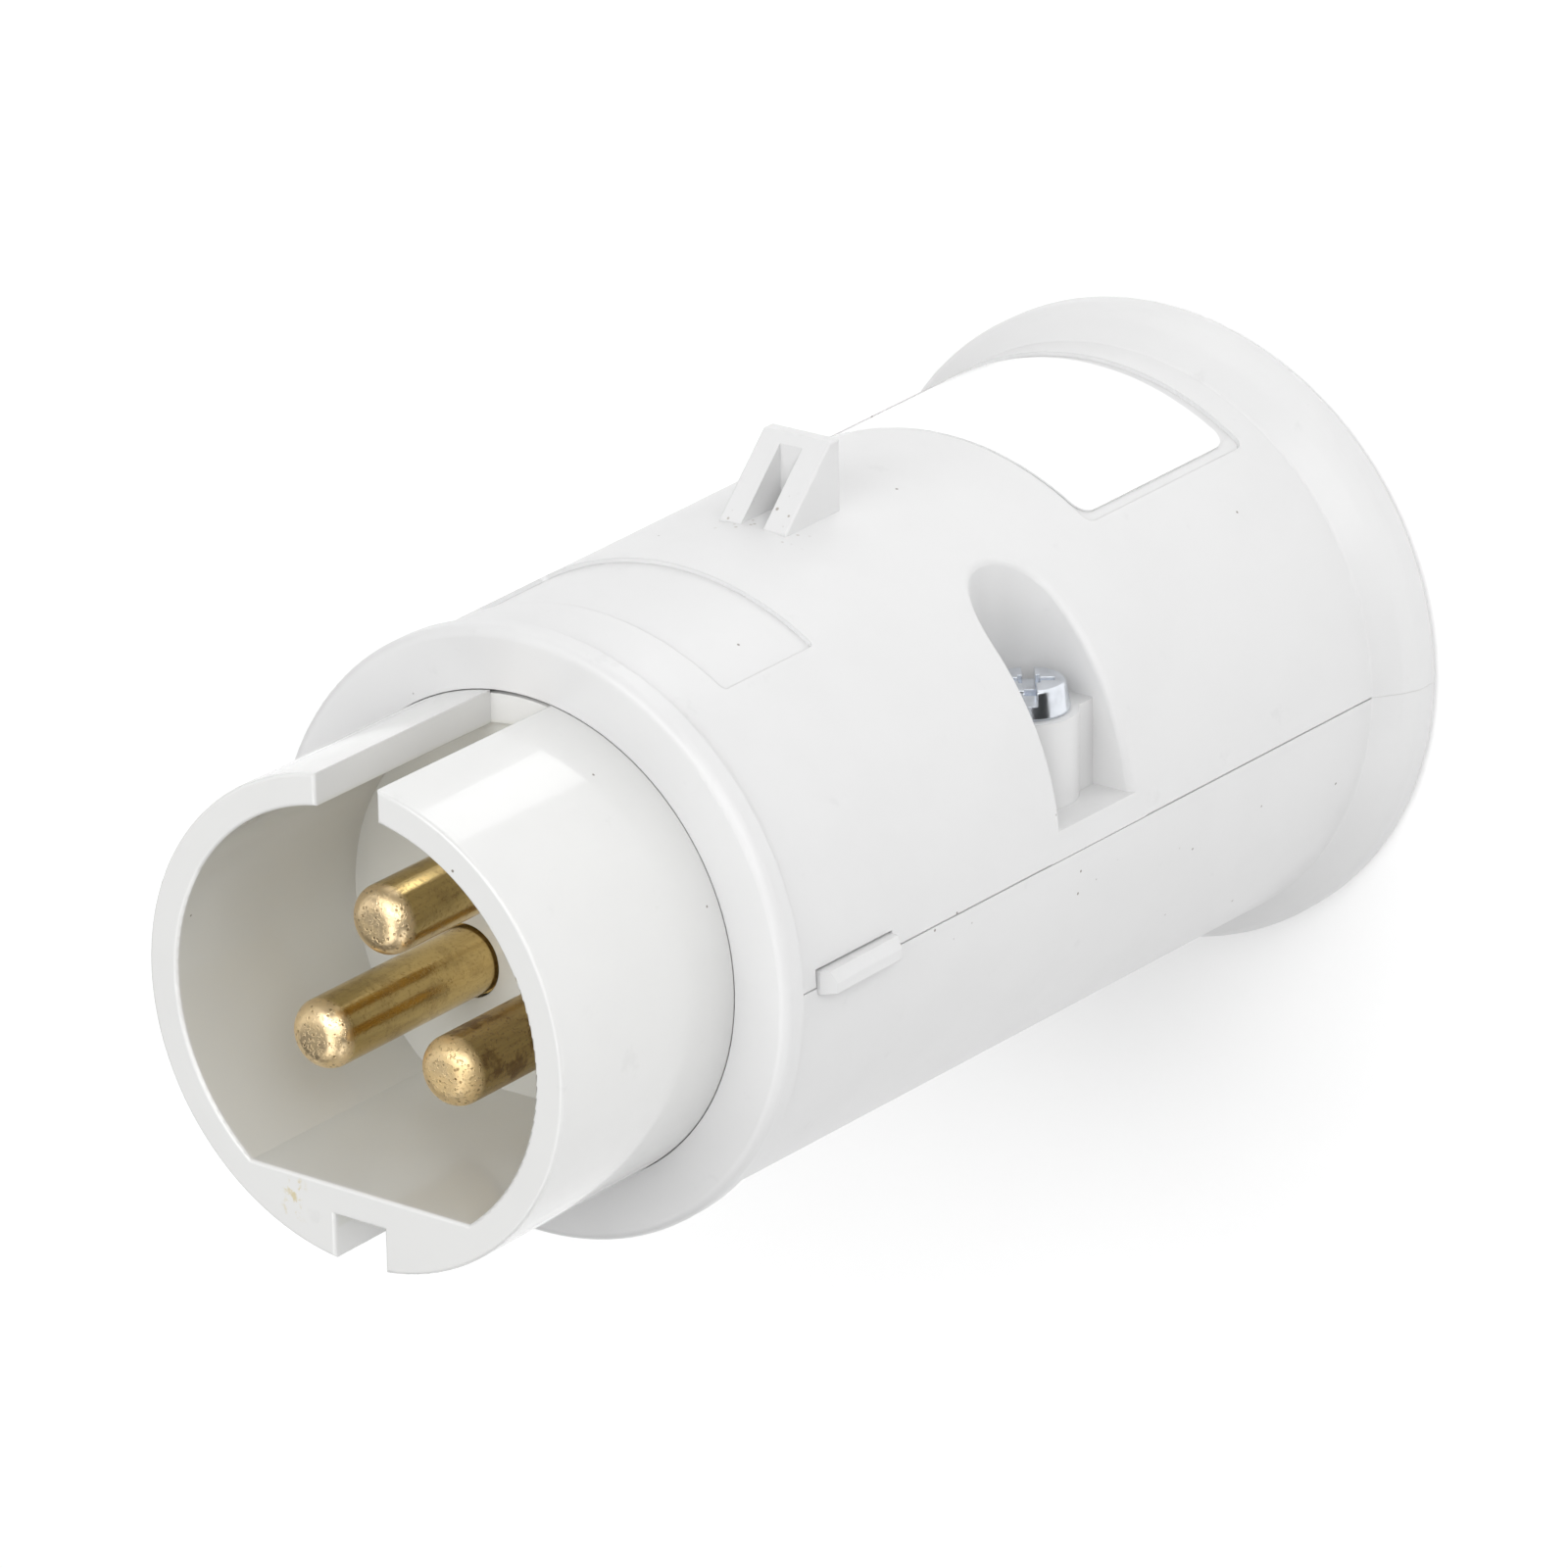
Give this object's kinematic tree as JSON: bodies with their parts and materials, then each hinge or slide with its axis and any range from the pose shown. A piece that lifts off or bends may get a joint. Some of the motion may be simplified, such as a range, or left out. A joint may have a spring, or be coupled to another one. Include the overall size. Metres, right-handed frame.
{
  "type": "industrial plug",
  "caption": "Pale industrial power plug: split tapered body with rear flange, latch lug and screw wells, and a tubular shroud around three brass pins.",
  "frame": {"origin": "centre of the cable entry, on the rear face that the plug stands on", "axes": "+Z along the plug's axis towards the contacts; -Y towards the latch lug, the shroud slot and the label; -X towards the screw well seen in the picture"},
  "size_m": [0.059, 0.0621, 0.1146],
  "materials": {
    "body_plastic": "satin, slightly grained",
    "shroud_plastic": "glossy",
    "seal_rubber": "matt",
    "retainer_plastic": "matt",
    "grommet_rubber": "matt",
    "clamp_plastic": "satin",
    "label_film": "glossy white film",
    "contact_brass": "turned, slightly tarnished",
    "terminal_steel": "zinc plated",
    "inner_screw_steel": "zinc plated",
    "plated_steel": "bright zinc plate"
  },
  "bodies": {
    "root": {"upper_shell": "body_plastic", "lower_shell": "body_plastic", "front_ring": "body_plastic", "shroud_carrier": "shroud_plastic", "carrier_seal": "seal_rubber", "pin_retainer": "retainer_plastic", "cord_grommet": "grommet_rubber", "cord_clamp": "clamp_plastic", "rating_label": "label_film", "contact_pin_top": "contact_brass", "contact_pin_right": "contact_brass", "contact_pin_left": "contact_brass", "terminal_screw_top_1": "terminal_steel", "terminal_screw_top_2": "terminal_steel", "terminal_screw_right_1": "terminal_steel", "terminal_screw_right_2": "terminal_steel", "terminal_screw_left_1": "terminal_steel", "terminal_screw_left_2": "terminal_steel", "retainer_screw_left": "inner_screw_steel", "cord_clamp_screw_left": "inner_screw_steel", "housing_screw_left": "plated_steel", "retainer_screw_right": "inner_screw_steel", "cord_clamp_screw_right": "inner_screw_steel", "housing_screw_right": "plated_steel"}
  },
  "joints": []
}
